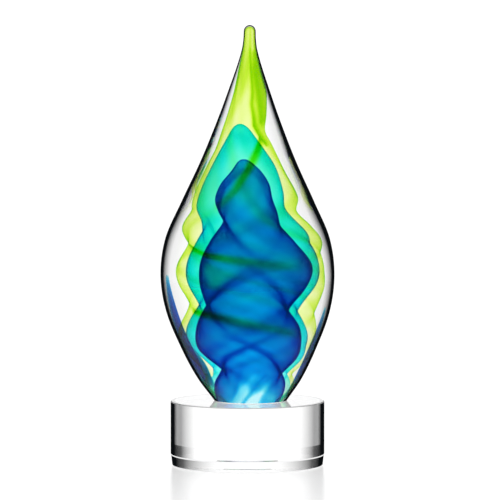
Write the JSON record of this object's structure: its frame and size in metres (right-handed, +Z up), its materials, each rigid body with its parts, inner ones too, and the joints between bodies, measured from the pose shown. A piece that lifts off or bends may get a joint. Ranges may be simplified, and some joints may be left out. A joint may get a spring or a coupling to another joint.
{
  "type": "art glass award on a crystal base",
  "caption": "Teardrop glass award with nested, twisted lime, teal and blue veils, bonded to a round clear crystal base.",
  "frame": {"origin": "centre of the base's flat underside", "axes": "+Z up through the tip of the flame, -Y towards the front, +X to the right seen from the front"},
  "size_m": [0.0904, 0.0904, 0.2285],
  "materials": {
    "optical_crystal": "clear optical crystal, machine cut and polished all over",
    "clear_adhesive": "water-clear cured adhesive film",
    "clear_glass": "fire-polished colourless blown glass",
    "blue_glass": "streaky transparent cobalt and aqua blue glass",
    "teal_glass": "streaky transparent sea-green glass",
    "lime_glass": "streaky transparent yellow-lime glass, paler towards the foot"
  },
  "bodies": {
    "root": {"crystal_base": "optical_crystal", "adhesive_film": "clear_adhesive", "clear_core": "clear_glass", "blue_veil": "blue_glass", "inner_clear_layer": "clear_glass", "teal_veil": "teal_glass", "middle_clear_layer": "clear_glass", "lime_veil": "lime_glass", "outer_casing": "clear_glass"}
  },
  "joints": []
}
